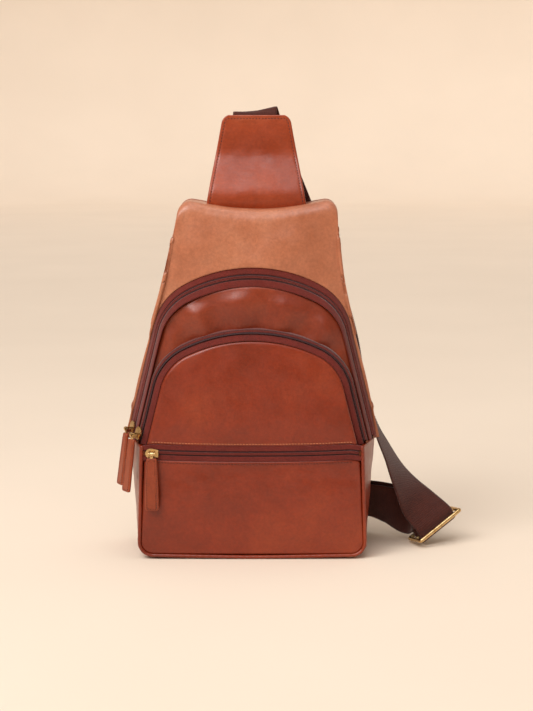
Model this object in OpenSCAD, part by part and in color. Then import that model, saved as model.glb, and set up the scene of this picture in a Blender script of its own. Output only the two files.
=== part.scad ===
// Leather sling bag: three zipped compartments, a stitched strap tab and an adjustable web strap.
// +X is to the right of someone facing the front, -Y is the front, +Z is up. Origin: centre of the base.

/* [Body] */
// Height of the two top shoulders
body_h = 304; // [296:1:312]
// Width of the base
base_w = 201; // [196:1:205]
// Greatest width, at the lower ends of the arch zips
waist_w = 214; // [210:1:218]
// Width across the two shoulders
shoulder_w = 137; // [132:1:140]
// The shoulders sit this far to the right of the base's centre
top_sway = 5.5; // [0:0.5:7]
// Width of the front pocket at the base
front_low_w = 197; // [192:1:199]
// Width of the front pocket at its zip
front_top_w = 191; // [188:1:195]
// Front of the pocket to the centre of the base
front_d = 38; // [36:1:42]
// Back panel to the centre of the base
back_d = 36; // [34:1:40]
// Thickness of the outer leather
leather_t = 1.6; // [1.2:0.1:2]
// Thickness of the linings
lining_t = 0.6; // [0.5:0.1:0.8]
// Thickness of the foam in the back
foam_t = 4; // [3:0.5:6]

/* [Zips] */
// Width of each tape half that shows beside the coil
tape_w = 6.3; // [5:0.1:8]
// Thickness of the tape
tape_t = 0.8; // [0.6:0.1:1]
// Half width of the two coil rows together
coil_w = 2.2; // [2:0.1:2.6]
// Half of the gap between the two coil rows
coil_gap = 0.6; // [0.5:0.1:0.8]
// Height of the outer arch zip at its crown
outer_top = 240; // [237:1:242]
// Height of the inner arch zip at its crown
inner_top = 195; // [192:1:197]
// Height of the horizontal pocket zip
front_zip_z = 91; // [88:1:93]
// Length of each leather pull tab
pull_len = 49; // [40:1:56]
// Width of each leather pull tab
pull_w = 12; // [9:1:14]

/* [Strap] */
// Width of the webbing
web_w = 38; // [36:1:39]
// Thickness of the webbing
web_t = 1.8; // [1.4:0.1:2]
// Width of the strap tab at the bag
tab_low_w = 88; // [80:1:94]
// Width of the strap tab at its end
tab_top_w = 58; // [52:1:64]
// Radius of the adjuster's wire
wire_r = 1.75; // [1.5:0.05:2]

/* [Hidden] */

cut = 400;             // larger than the whole bag, for cutting blocks
seam_z = 97;           // top of the base gusset, where both arch zips end
corner_r = 13;         // bottom corner of the body
ear_r = 10;            // top shoulder of the body
splay = 14;            // the legs of both arch zips lean in by this angle
leg_a = 90 - splay;
mid_y = 3;             // depth at which the body is widest
piping_w = 2.6;        // rolled seam round the front pocket
pull_t = 2.4;          // leather pull tabs, two layers
tab_x = 3.5;           // the strap tab follows the shoulders' sway
tan_hide = "#a9562f";
dark_hide = "#94421f";
maroon = "#7a3328";
dark_web = "#4a2a24";
brass = "#c9a55c";
cloth = "#5a3a30";
foam = "#d9d2c4";

// ---- 2D helpers -------------------------------------------------------------------------------
function arc(c, r, a0, a1, n = 10) =
  [for (i = [0:n]) let (a = a0 + (a1 - a0) * i / n) [c[0] + r * cos(a), c[1] + r * sin(a)]];
function bez(p, t) = pow(1 - t, 3) * p[0] + 3 * t * pow(1 - t, 2) * p[1]
  + 3 * t * t * (1 - t) * p[2] + t * t * t * p[3];
function curve(p, n = 14) = [for (i = [1:n]) bez(p, i / n)];
function flip(points) = [for (i = [len(points) - 1:-1:0]) [-points[i][0], points[i][1]]];
function unit(v) = v / norm(v);
function mix(a, b, t) = a + (b - a) * t;

// Right half of the body's front outline, from the base up to the middle of the top
side_half = concat(
  arc([base_w / 2 - corner_r, corner_r], corner_r, -90, 0, 6),
  [[waist_w / 2, seam_z]],
  curve([[waist_w / 2, seam_z], [waist_w / 2 - 1, 150], [shoulder_w / 2 + 12, 200],
    [shoulder_w / 2 + 3.5, 262]]),
  arc([shoulder_w / 2 - ear_r, body_h - ear_r], ear_r, 0, 105, 8),
  curve([[shoulder_w / 2 - 16, body_h - 0.5], [40, body_h - 4], [20, body_h - 7],
    [0, body_h - 7]], 8));
function sway(p) = [p[0] + top_sway * pow(p[1] / body_h, 6), p[1]];
body_points = [for (p = concat(side_half, flip(side_half))) sway(p)];
front_half = concat(arc([front_low_w / 2 - corner_r, corner_r], corner_r, -90, 0, 6),
  [[front_top_w / 2, seam_z + 4]]);

module body2d(inset = 0) offset(delta = -inset) polygon(body_points);
module front2d(inset = 0) offset(delta = -inset) polygon(concat(front_half, flip(front_half)));
module below(z) intersection() {
  children();
  translate([-cut, -1]) square([2 * cut, z + 1]);
}
module above(z) intersection() {
  children();
  translate([-cut, z]) square([2 * cut, cut]);
}
// Extrudes a front outline from depth y0 back to depth y1
module along_y(y0, y1) translate([0, y1, 0]) rotate([90, 0, 0]) linear_extrude(y1 - y0) children();
// Extrudes a side profile, drawn as (y, z), across the whole width
module along_x() rotate([90, 0, 90]) linear_extrude(cut, center = true) children();
// Side profile of a sheet of thickness t whose front face follows line
module leaf(line, t) along_x() polygon(concat(line,
  [for (i = [len(line) - 1:-1:0]) line[i] + [t, 0]]));

// ---- arch zips ---------------------------------------------------------------------------------
// Each arch is three-centred: a flat crown arc, two tighter shoulder arcs and straight splayed legs.
// [crown height, crown radius, crown half angle, shoulder radius, depth at the seam, depth at the crown]
outer_arch = [outer_top, 120, 28, 50, -6, -18];
inner_arch = [inner_top, 135, 26, 50, -27, -31];
function crown_c(a) = [0, a[0] - a[1]];
function shoulder_c(a) = crown_c(a) + (a[1] - a[3]) * [sin(a[2]), cos(a[2])];
function leg_top(a, off = 0) = shoulder_c(a) + (a[3] + off) * [sin(leg_a), cos(leg_a)];
function leg_point(a, z, off = 0) = let (p = leg_top(a, off)) [p[0] + (p[1] - z) * tan(splay), z];
function arch_half(a, off = 0, z0 = seam_z) = concat(
  [for (i = [0:8]) crown_c(a) + (a[1] + off) * [sin(a[2] * i / 8), cos(a[2] * i / 8)]],
  [for (i = [1:12]) let (b = a[2] + (leg_a - a[2]) * i / 12)
    shoulder_c(a) + (a[3] + off) * [sin(b), cos(b)]],
  [leg_point(a, z0, off)]);
function arch_points(a, off, z0) = let (h = arch_half(a, off, z0)) concat(h, flip(h));
module arch2d(a, off = 0, z0 = seam_z) polygon(arch_points(a, off, z0));

// Stations along an arch from the left leg to the right: [point, outward direction, turn],
// where turn is how far the surface there has turned from facing front to facing sideways
function depth_at(a, z) = mix(a[4], a[5], (z - seam_z) / (a[0] - seam_z));
function turn_at(a, z, low, top) = let (s = min(1, max(0, (a[0] - z) / (a[0] - 180))))
  mix(top, low, s * (2 - s));
function half_stations(a, z0) = concat(
  [for (i = [0:8]) let (b = a[2] * i / 8)
    [crown_c(a) + a[1] * [sin(b), cos(b)], [sin(b), cos(b)]]],
  [for (i = [1:12]) let (b = a[2] + (leg_a - a[2]) * i / 12)
    [shoulder_c(a) + a[3] * [sin(b), cos(b)], [sin(b), cos(b)]]],
  [for (i = [1:6]) [leg_point(a, mix(leg_top(a)[1], z0, i / 6)), [sin(leg_a), cos(leg_a)]]]);
function mirrored(s) = [[-s[0][0], s[0][1]], [-s[1][0], s[1][1]]];
function stations(a, z0) = let (h = half_stations(a, z0))
  concat([for (i = [len(h) - 1:-1:1]) mirrored(h[i])], h);
function arch_place(a, s) = [s[0][0], depth_at(a, s[0][1]), s[0][1]];
function across(s, turn) = [cos(turn) * s[1][0], sin(turn), cos(turn) * s[1][1]];
function facing(s, turn) = [sin(turn) * s[1][0], -cos(turn), sin(turn) * s[1][1]];

// Closed ribbon through rings of four corners, in triangles because its sides are twisted.
// Its two faces are split along the same diagonal, so the thickness stays even.
module ribbon(rings) {
  n = len(rings);
  polyhedron([for (r = rings) each r],
    concat([[0, 2, 1], [0, 3, 2]],
      [for (i = [0:n - 2], k = [0:3], h = [0:1]) let (m = (k + 1) % 4, a = 4 * i, b = 4 * (i + 1))
        k == 3 ? (h == 0 ? [a + k, a + m, b + k] : [a + m, b + m, b + k])
          : h == 0 ? [a + k, b + m, b + k] : [a + k, a + m, b + m]],
      [[4 * n - 1, 4 * n - 3, 4 * n - 2], [4 * n - 1, 4 * n - 4, 4 * n - 3]]));
}
function ring(p, w, n, w0, w1, n0, n1) = [p + w * w0 + n * n0, p + w * w0 + n * n1,
  p + w * w1 + n * n1, p + w * w1 + n * n0];
// Ribbon on an arch: across from w0 to w1, in thickness from n0 to n1
module arch_ribbon(a, w0, w1, n0, n1, low, top, z0) {
  ribbon([for (s = stations(a, z0)) let (t = turn_at(a, s[0][1], low, top))
    ring(arch_place(a, s), across(s, t), facing(s, t), w0, w1, n0, n1)]);
}
outer_turn = [62, 12];
inner_turn = [55, 55];
inner_front_turn = [20, 20];
inner_rear_turn = [84, 84];
tape_out = coil_w + tape_w;

module tape(a, w0, w1, turn) arch_ribbon(a, w0, w1, -tape_t / 2, tape_t / 2, turn[0], turn[1], seam_z + 1.2);
module coil_row(a, w0, w1, turn) arch_ribbon(a, w0, w1, -0.9, 0.7, turn[0], turn[1], seam_z + 3.5);
module outer_tape_rear() color(maroon) tape(outer_arch, coil_w, tape_out, outer_turn);
module outer_tape_front() color(maroon) tape(outer_arch, -tape_out, -coil_w, outer_turn);
module outer_coil() color(dark_web) for (s = [-1, 1])
  coil_row(outer_arch, s > 0 ? coil_gap : -coil_w, s > 0 ? coil_w : -coil_gap, outer_turn);
module inner_tape_rear() color(maroon) tape(inner_arch, coil_w + 0.4, 12.5, inner_rear_turn);
module inner_tape_front() color(maroon) tape(inner_arch, -tape_out, -coil_w - 0.6, inner_front_turn);
module inner_coil() color(dark_web) for (s = [-1, 1])
  coil_row(inner_arch, s > 0 ? coil_gap : -coil_w, s > 0 ? coil_w : -coil_gap, inner_turn);

// ---- leather and lining panels -----------------------------------------------------------------
back_in = back_d - leather_t;
main_line = [[-12.5, leather_t], [-12.5, seam_z], [-20, outer_top - tape_out]];
yoke_line = [[-11, 150], [-17, 243], [-15.5, 252], [-9, 288], [-3, 298], [3, 303.5]];
front_line = [[-front_d - 0.6, front_zip_z + 6.2], [-34, inner_top - 4]];
rim_line = [[-32, front_zip_z + 6.2], [-31, inner_top]];
side_top = 240;

module back_panel() color(tan_hide) along_y(back_in, back_d) body2d();
module back_foam() color(foam) along_y(back_in - foam_t, back_in) body2d(8);
module back_lining() color(cloth)
  along_y(back_in - foam_t - lining_t, back_in - foam_t) body2d(leather_t);
module yoke() color(tan_hide) {
  intersection() {
    leaf(yoke_line, leather_t);
    along_y(-cut, cut) difference() {
      above(150) body2d();
      arch2d(outer_arch, tape_out + 0.8, 0);
    }
  }
  // Side and top walls of the yoke, from its front leaf back to the back panel
  intersection() {
    along_x() polygon(concat(yoke_line + [for (p = yoke_line) [leather_t, 0]],
      [[6, cut], [back_in, cut], [back_in, 150]]));
    along_y(-cut, cut) above(side_top) difference() {
      body2d();
      body2d(leather_t);
    }
  }
}
// Strip of the side wall between the outer zip and the back panel
module rear_side(s) color(dark_hide) intersection() {
  along_x() polygon([[4.5, seam_z], [-4, 190], [-14, side_top], [back_in, side_top], [back_in, seam_z]]);
  along_y(-cut, cut) difference() {
    body2d();
    body2d(leather_t);
  }
  translate([s > 0 ? 0 : -cut, -cut, 0]) cube([cut, 2 * cut, cut]);
}
module rear_side_left() rear_side(-1);
module rear_side_right() rear_side(1);
module base_gusset() color(dark_hide) {
  along_y(mid_y, back_in) below(seam_z) difference() {
    body2d();
    body2d(leather_t);
  }
  difference() {
    funnel(0, 0);
    funnel(leather_t, 1);
    translate([-cut, -cut, seam_z]) cube([2 * cut, 2 * cut, cut]);
  }
}
// Forward of the waist the wall draws in to the narrower front
module funnel(inset, reach) hull() {
  along_y(mid_y + reach - 0.01, mid_y + reach) below(seam_z + reach) body2d(inset);
  along_y(-front_d + 1 - reach, -front_d + 1.01 - reach) below(seam_z + reach) front2d(inset);
}
module main_divider() color(cloth) intersection() {
  leaf([[-12.5, leather_t + 0.4], [-12.5, seam_z - 0.2]], lining_t);
  along_y(-cut, cut) body2d(leather_t + 5.5);
}
module middle_panel() color(dark_hide) intersection() {
  leaf(main_line, leather_t);
  along_y(-cut, cut) arch2d(outer_arch, -tape_out - 0.5, seam_z);
}
module front_upper_panel() color(tan_hide) {
  intersection() {
    leaf(front_line, leather_t);
    along_y(-cut, cut) arch2d(inner_arch, -tape_out, front_zip_z + 6.2);
  }
  // Turned edge that runs back to the zip tape
  intersection() {
    along_x() polygon(concat(front_line + [for (p = front_line) [leather_t, 0]],
      [[-31, inner_top], rim_line[0]]));
    along_y(-cut, cut) difference() {
      arch2d(inner_arch, -tape_out, front_zip_z + 6.2);
      arch2d(inner_arch, -tape_out - leather_t, 0);
    }
  }
}
module pocket_lining() color(cloth) along_y(-28, -28 + lining_t)
  below(seam_z - 3) above(leather_t + 0.4) front2d(leather_t + 1.8);
module front_pocket_panel() color(tan_hide)
  along_y(-front_d - 0.6, -front_d + 1) below(front_zip_z - 6.2) front2d(piping_w);
module front_piping() color(dark_hide)
  along_y(-front_d - 1.6, -front_d + 1) below(seam_z - 3) difference() {
    front2d();
    front2d(piping_w);
  }

// ---- horizontal pocket zip ----------------------------------------------------------------------
zip_half = 91.3;
module front_strip(z0, z1, y0, y1) translate([-zip_half, y0, front_zip_z + z0])
  cube([2 * zip_half, y1 - y0, z1 - z0]);
module front_tape_upper() color(maroon) front_strip(coil_w, 6.2, -front_d - 0.4, -front_d + 0.4);
module front_tape_lower() color(maroon) front_strip(-6.2, -coil_w, -front_d - 0.4, -front_d + 0.4);
module front_coil() color(dark_web) {
  front_strip(coil_gap, coil_w, -front_d - 0.7, -front_d + 0.9);
  front_strip(-coil_w, -coil_gap, -front_d - 0.7, -front_d + 0.9);
}

// ---- sliders and pulls ---------------------------------------------------------------------------
// Puts children in a frame with its own x (across), y (facing) and z (along) axes
module framed(p, x, y, z) multmatrix([[x[0], y[0], z[0], p[0]], [x[1], y[1], z[1], p[1]],
  [x[2], y[2], z[2], p[2]]]) children();
slider_l = 11;
slider_w = 8.6;
plate_low = 1.2;       // underside of the top plate above the tape's middle
plate_t = 1.2;
pin_r = 0.8;
eye_r = 1.1;
module plate() linear_extrude(plate_t) hull() {
  translate([-slider_w / 2, 0]) square([slider_w, 1]);
  translate([0, slider_l / 2 - slider_w / 2]) circle(slider_w / 2, $fn = 32);
  translate([-slider_w / 2 + 1.2, -slider_l / 2]) square([slider_w - 2.4, 1]);
}
module back_plate() translate([-1.5, plate_low, -slider_l / 2]) cube([3, plate_t, slider_l]);
// Slider in its own frame: travel along +Z, face towards -Y, pin height above the tape given
module slider(pin_h, pin_z, turn) color(brass) {
  translate([0, -plate_low, 0]) rotate([90, 0, 0]) plate();
  back_plate();
  translate([-0.3, -plate_low - 0.1, slider_l / 2 - 4]) cube([0.6, 2 * plate_low + 0.2, 3]);
  // Two ears with the pin between them
  translate([0, -pin_h, pin_z]) rotate([0, turn, 0]) {
    rotate([0, 90, 0]) cylinder(r = pin_r, h = 5.2, center = true, $fn = 32);
    for (s = [-1, 1]) translate([s * 2.3 - 0.5, 0, 0]) {
      rotate([0, 90, 0]) cylinder(r = 1.6, h = 1, $fn = 32);
      translate([0, 0, -1.6]) cube([1, pin_h - plate_low - 0.6, 3.2]);
    }
  }
}
// Metal pull hanging from its pin at the origin, and the leather tab on it
stem_l = 10;
tab_drop = -3.4;        // top of the leather below the pin
module pull() color(brass) {
  difference() {
    union() {
      rotate([0, 90, 0]) cylinder(r = 2.1, h = 2.6, center = true, $fn = 32);
      translate([-1.3, -0.7, -stem_l]) cube([2.6, 1.4, stem_l]);
    }
    rotate([0, 90, 0]) cylinder(r = eye_r, h = 4, center = true, $fn = 32);
  }
}
module pull_tab() color(dark_hide) difference() {
  translate([0, pull_t / 2, tab_drop]) rotate([90, 0, 0]) linear_extrude(pull_t) hull() {
    for (s = [-1, 1]) translate([s * (pull_w / 2 - 2), 2 - pull_len]) circle(2, $fn = 24);
    for (s = [-1, 1]) translate([s * (pull_w / 2 - 3), -1.5]) circle(1.5, $fn = 24);
  }
  translate([-1.3, -0.7, -stem_l]) cube([2.6, 1.4, stem_l]);
}

// Left leg of an arch zip: the slider's place, its three axes and the pin
function leg_frame(a, z) = let (s = mirrored([leg_point(a, z), [sin(leg_a), cos(leg_a)]]),
    up = unit(arch_place(a, mirrored([leg_point(a, z + 1), [0, 0]])) - arch_place(a, s)))
  [arch_place(a, s), up, s];
outer_rest_z = 108;
inner_rest_z = 106.5;
outer_pin_h = 6.6;
inner_pin_h = 7.2;
outer_lf = leg_frame(outer_arch, outer_rest_z);
inner_lf = leg_frame(inner_arch, inner_rest_z);
outer_out = facing(outer_lf[2], outer_turn[0]);
inner_out = facing(inner_lf[2], inner_turn[0]);
function level(v) = unit([v[0], v[1], 0]);
// Square frame on a leg: x across it, y into the bag, z up along it
module on_leg(lf, out) {
  side = unit(cross(lf[1], out));
  framed(lf[0], side, cross(lf[1], side), lf[1]) children();
}
module leg_slider(lf, out, pin_h) on_leg(lf, out) slider(pin_h, -pin_below, 0);
pin_below = 2.5;       // the side sliders' pins sit this far below their middles
function leg_pin(lf, out, pin_h) = let (side = unit(cross(lf[1], out)))
  lf[0] - cross(lf[1], side) * pin_h - lf[1] * pin_below;
lean = 8;              // side pulls stand off the bag's wall by this angle
module leg_pull(lf, out, pin_h) {
  side = level(cross(lf[1], out));
  framed(leg_pin(lf, out, pin_h), side, cross([0, 0, 1], side), [0, 0, 1])
    rotate([-lean, 0, 0]) children();
}
module outer_slider() leg_slider(outer_lf, outer_out, outer_pin_h);
module outer_pull() leg_pull(outer_lf, outer_out, outer_pin_h) pull();
module outer_pull_tab() leg_pull(outer_lf, outer_out, outer_pin_h) pull_tab();
module inner_slider() leg_slider(inner_lf, inner_out, inner_pin_h);
module inner_pull() leg_pull(inner_lf, inner_out, inner_pin_h) pull();
module inner_pull_tab() leg_pull(inner_lf, inner_out, inner_pin_h) pull_tab();

front_rest_x = -85.5;
front_pin_h = 5.4;
module front_slider() translate([front_rest_x, -front_d, front_zip_z])
  rotate([0, -90, 0]) slider(front_pin_h, 0, 90);
module front_hang() translate([front_rest_x, -front_d - front_pin_h, front_zip_z]) children();
module front_pull() front_hang() pull();
module front_pull_tab() front_hang() pull_tab();

// Pressed stops that end each pair of coil rows
module leg_stop(a, turn, s) {
  f = leg_frame(a, seam_z + 2);
  mirror([s > 0 ? 1 : 0, 0, 0]) on_leg(f, facing(f[2], turn))
    translate([-2, -0.7, -1]) cube([4, 1.6, 2]);
}
module zip_stops() color(brass) {
  for (s = [-1, 1]) {
    leg_stop(outer_arch, outer_turn[0], s);
    leg_stop(inner_arch, inner_turn[0], s);
    translate([s * (zip_half + 0.8) - 0.7, -front_d - 0.7, front_zip_z - 2]) cube([1.4, 1.6, 4]);
  }
}

// ---- strap tab -----------------------------------------------------------------------------------
// Middle line of the tab as (y, z): out of the top seam, leaning back, then upright
tab_line = concat([[13, body_h - 10], [12, body_h - 6.8]],
  curve([[12, body_h - 6.8], [6, 319], [29, 325], [31, 347]], 14), [[32.5, 376]]);
function line_n(l, i) = let (d = unit(l[min(i + 1, len(l) - 1)] - l[max(i - 1, 0)])) [d[1], -d[0]];
module tab_layer(n0, n1, top) intersection() {
  along_x() polygon(concat([for (i = [0:len(tab_line) - 1]) tab_line[i] + line_n(tab_line, i) * n0],
    [for (i = [len(tab_line) - 1:-1:0]) tab_line[i] + line_n(tab_line, i) * n1]));
  along_y(-cut, cut) difference() {
    translate([tab_x, 0]) hull() {
      translate([-tab_low_w / 2, body_h - 8]) square([tab_low_w, 1]);
      for (s = [-1, 1]) translate([s * (tab_top_w / 2 - 7), top - 7]) circle(7, $fn = 32);
    }
    body2d();
  }
}
web_in = 345;          // the webbing reaches down to this height between the tab's layers
module strap_tab_front() color(tan_hide) tab_layer(-2.5, -1, 377);
module strap_tab_back() color(tan_hide) tab_layer(1, 2.5, 371);
module strap_tab_core() color(foam) intersection() {
  tab_layer(-1, 1, 377);
  translate([-cut, -cut, 0]) cube([2 * cut, 2 * cut, web_in - 1]);
}

// ---- strap -----------------------------------------------------------------------------------------
// Adjuster: centre, direction of its bars, direction in which the web runs through it
adj_c = [162, 18, 15.5];
adj_b = unit([0.77, 0.35, 0.53]);
adj_t = unit(cross([-0.3, 0.95, -0.1], adj_b));
adj_d = cross(adj_b, adj_t);
wire_pitch = 12;       // outer bars to the centre bar
run_r = 5.8;           // middle of the running web round the centre bar
run_sag = 0.2;         // the running web hangs this much below its turn
loop_r = 3.1;          // middle of the sewn loop round the centre bar
ring_x = -82;          // anchor ring's free bar
ring_y = 46;
ring_z = 36;

// The two layers between the adjuster and the anchor ring lie on either side of this route
lay_route = [[adj_c + adj_d * 8 - adj_t * 9.5, adj_b], [[142, 35, 22], [0.56, -0.08, 0.8]],
  [[122, 44.5, 29], [0.25, -0.42, 0.86]],
  [[98, 52, 32.5], [0, -0.5, 0.86]], [[60, 53, 32], [0, -0.3, 0.95]],
  [[10, 52, 29], [0, -0.2, 0.98]], [[-40, 50, 32], [0, -0.05, 1]], [[-66, 47, ring_z], [0, 0, 1]]];
lay_gap = [3.6, 4.2, 3.4, 2.6, 2, 2, 2, 2]; // each layer's middle to that route, by station
function lay(side) = let (m = len(lay_route) - 1) [for (i = [0:m]) let (w = lay_route[i][1],
    t = unit(lay_route[min(i + 1, m)][0] - lay_route[max(i - 1, 0)][0]))
  [lay_route[i][0] + unit(cross(t, w)) * side * lay_gap[i], w]];
// Route of the webbing from inside the tab to the anchor ring: [place, direction across]
function turn_round(r, sag, n) = [for (i = [0:n]) let (a = 180 * i / n)
  [adj_c - adj_d * r * cos(a) + adj_t * (r * sin(a) + sag), adj_b]];
web_route = concat([
  [[2, 30.95, 346], [1, 0, 0]], [[2, 31.6, 359], [1, 0, 0]], [[2, 32.4, 374], [1, 0, 0.02]],
  [[2.3, 33.8, 378.3], [0.99, 0, 0.08]], [[3, 37.5, 379.6], [0.99, 0, 0.15]],
  [[4.5, 41.2, 375.5], [0.97, 0, 0.22]], [[9, 43.4, 361], [0.94, 0, 0.33]], [[22, 45, 325], [0.93, 0, 0.36]],
  [[40, 46, 280], [0.93, 0, 0.37]], [[60, 48, 228], [0.92, 0.1, 0.37]],
  [[80, 56, 176], [0.75, 0.6, 0.28]], [[95, 60, 138], [0.35, 0.92, 0.15]],
  [[107, 60, 109], [0.05, 0.99, 0.1]], [[116, 50, 88], [0.12, 0.99, 0.1]],
  [[127, 38, 67], [0.3, 0.95, 0.02]], [[138, 27, 49], [0.58, 0.8, 0.12]],
  [[149, 20, 33], [0.72, 0.52, 0.44]]],
  [[adj_c - adj_d * run_r - adj_t * 7, adj_b]], turn_round(run_r, run_sag, 5),
  lay(1),
  [[[ring_x + 1.2, ring_y + 3.6, ring_z], [0, 0, 1]]]);
function catmull(a, b, c, d, t) = 0.5 * ((2 * b) + (c - a) * t + (2 * a - 5 * b + 4 * c - d) * t * t
  + (3 * b - a - 3 * c + d) * t * t * t);
function smooth(route, n) = let (m = len(route) - 1) [for (i = [0:m - 1], k = [0:n - 1])
    [for (j = [0:1]) catmull(route[max(i - 1, 0)][j], route[i][j], route[i + 1][j],
      route[min(i + 2, m)][j], k / n)], route[m]];
function web_ring(line, i) = let (m = len(line) - 1,
    t = unit(line[min(i + 1, m)][0] - line[max(i - 1, 0)][0]),
    w = unit(line[i][1] - t * (line[i][1] * t)), n = cross(t, w))
  ring(line[i][0], w, n, -web_w / 2, web_w / 2, -web_t / 2, web_t / 2);
module web(route, n) {
  line = smooth(route, n);
  ribbon([for (i = [0:len(line) - 1]) web_ring(line, i)]);
}
module strap_web() color(dark_web) web(web_route, 3);
// The webbing's second end, from its sewn loop on the adjuster's centre bar back to the ring
return_route = concat([[adj_c - adj_d * loop_r - adj_t * 6, adj_b]], turn_round(loop_r, 0, 6),
  lay(-1),
  [[[ring_x, ring_y - 3.6, ring_z], [0, 0, 1]], [[ring_x - 3.3, ring_y - 1.5, ring_z], [0, 0, 1]],
    [[ring_x - 3.3, ring_y + 1.5, ring_z], [0, 0, 1]], [[ring_x, ring_y + 3.6, ring_z], [0, 0, 1]]]);
module strap_return() color(dark_web) web(return_route, 3);

// ---- adjuster and anchor ---------------------------------------------------------------------------
bar_half = web_w / 2 + 4;
// Wire loop drawn in its own frame: bars along x, pitch along y
module wire_loop(half, pitch, r) {
  for (s = [-1, 1]) {
    translate([0, s * pitch, 0]) rotate([0, 90, 0])
      cylinder(r = r, h = 2 * half - 2 * r, center = true, $fn = 24);
    translate([s * half, 0, 0]) rotate([90, 0, 0])
      cylinder(r = r, h = 2 * pitch - 2 * r, center = true, $fn = 24);
    for (t = [-1, 1]) translate([s * (half - r), t * (pitch - r), 0]) rotate([0, 0, s * t > 0
      ? (s > 0 ? 0 : 180) : (s > 0 ? -90 : 90)])
      rotate_extrude(angle = 90, $fn = 32) translate([r, 0]) circle(r, $fn = 24);
  }
}
module adjuster_frame() color(brass) framed(adj_c, adj_b, adj_d, adj_t)
  wire_loop(bar_half, wire_pitch, wire_r);
module adjuster_bar() color(brass) framed(adj_c, adj_b, adj_d, adj_t) rotate([0, 90, 0])
  cylinder(r = wire_r - 0.1, h = 2 * (bar_half - wire_r), center = true, $fn = 24);
module anchor_ring() color(brass) translate([ring_x - 6, ring_y, ring_z])
  rotate([90, 90, 0]) wire_loop(web_w / 2 + 2.4, 6, 1.6);
module anchor_tab() color(dark_hide) {
  translate([0, 0, ring_z - web_w / 2]) linear_extrude(web_w) difference() {
    union() {
      translate([ring_x - 12, ring_y - 4]) circle(3.4, $fn = 32);
      translate([ring_x - 12, back_d]) square([30, 3]);
      translate([ring_x - 15.4, back_d]) square([6.8, ring_y - 4 - back_d]);
    }
    translate([ring_x - 12, ring_y]) circle(1.6, $fn = 32);
  }
}

back_panel();
back_foam();
back_lining();
yoke();
rear_side_left();
rear_side_right();
base_gusset();
main_divider();
middle_panel();
front_upper_panel();
pocket_lining();
front_pocket_panel();
front_piping();
outer_tape_rear();
outer_tape_front();
outer_coil();
inner_tape_rear();
inner_tape_front();
inner_coil();
front_tape_upper();
front_tape_lower();
front_coil();
zip_stops();
outer_slider();
outer_pull();
outer_pull_tab();
inner_slider();
inner_pull();
inner_pull_tab();
front_slider();
front_pull();
front_pull_tab();
strap_tab_front();
strap_tab_core();
strap_tab_back();
strap_web();
strap_return();
adjuster_frame();
adjuster_bar();
anchor_tab();
anchor_ring();
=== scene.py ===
"""Looks of the leather sling bag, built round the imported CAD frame.

Lengths are in millimetres until a mesh is made. +X is to the right of someone facing the front,
-Y is the front and +Z is up. Each piece rides on a CAD body and stands for the CAD nodes it names.
"""
import math

import bmesh
import bpy
import numpy as np
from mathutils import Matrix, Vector, noise
from mathutils.geometry import delaunay_2d_cdt


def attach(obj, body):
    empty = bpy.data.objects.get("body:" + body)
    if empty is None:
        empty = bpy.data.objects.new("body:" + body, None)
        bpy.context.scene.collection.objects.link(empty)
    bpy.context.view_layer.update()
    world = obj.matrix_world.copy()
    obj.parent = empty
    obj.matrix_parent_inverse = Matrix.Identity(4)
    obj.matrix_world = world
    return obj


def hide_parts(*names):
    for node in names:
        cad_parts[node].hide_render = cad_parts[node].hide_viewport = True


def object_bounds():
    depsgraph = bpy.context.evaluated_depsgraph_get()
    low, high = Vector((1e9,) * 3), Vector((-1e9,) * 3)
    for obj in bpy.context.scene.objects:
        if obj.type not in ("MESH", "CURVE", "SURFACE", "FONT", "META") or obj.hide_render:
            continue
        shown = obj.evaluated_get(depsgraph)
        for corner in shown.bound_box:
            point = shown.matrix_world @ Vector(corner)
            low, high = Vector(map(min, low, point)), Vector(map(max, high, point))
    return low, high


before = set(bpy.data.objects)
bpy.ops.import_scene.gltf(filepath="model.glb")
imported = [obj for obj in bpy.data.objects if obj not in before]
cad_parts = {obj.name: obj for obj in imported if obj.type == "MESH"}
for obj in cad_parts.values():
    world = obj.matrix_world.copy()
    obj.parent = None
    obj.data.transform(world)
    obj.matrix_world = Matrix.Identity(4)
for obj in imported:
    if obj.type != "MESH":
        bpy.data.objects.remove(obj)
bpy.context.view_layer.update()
MM = 0.001

# ---- camera --------------------------------------------------------------------------------------
camera = bpy.data.objects.new("camera", bpy.data.cameras.new("camera"))
camera.data.sensor_fit = "VERTICAL"
camera.data.sensor_height = 36
camera.data.lens = 89.7
camera.location = (0.0123, -1.5234, 0.3839)
camera.rotation_euler = (math.radians(82), 0, 0)
bpy.context.scene.collection.objects.link(camera)
bpy.context.scene.camera = camera

# ---- driving dimensions, the same as the CAD's ---------------------------------------------------
BODY_H, BASE_W, WAIST_W, SHOULDER_W, TOP_SWAY = 304, 201, 214, 137, 5.5
FRONT_LOW_W, FRONT_D = 197, 38
SEAM_Z, CORNER_R, EAR_R, MID_Y, BACK_SEAM_Y = 97, 13, 10, 3, 35.0
FRONT_ZIP_Z, ZIP_HALF = 91, 91.3
SPLAY = math.radians(14)
LEG_A = math.pi / 2 - SPLAY
# crown height, crown radius, crown half angle, shoulder radius, depth at the seam, depth at the crown
OUTER_ARCH = (240, 120, math.radians(28), 50, -6, -18)
INNER_ARCH = (195, 135, math.radians(26), 50, -27, -31)
WEB_W, WEB_T = 38, 1.8


def unit(v):
    """The vector made one long."""
    v = np.asarray(v, float)
    return v / np.linalg.norm(v)


def srgb(r, g, b):
    """A linear colour from the 0 to 255 values that a screen shows."""
    return tuple(((c / 255 + 0.055) / 1.055) ** 2.4 if c > 10 else c / 3294.6 for c in (r, g, b)) + (1,)


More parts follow.
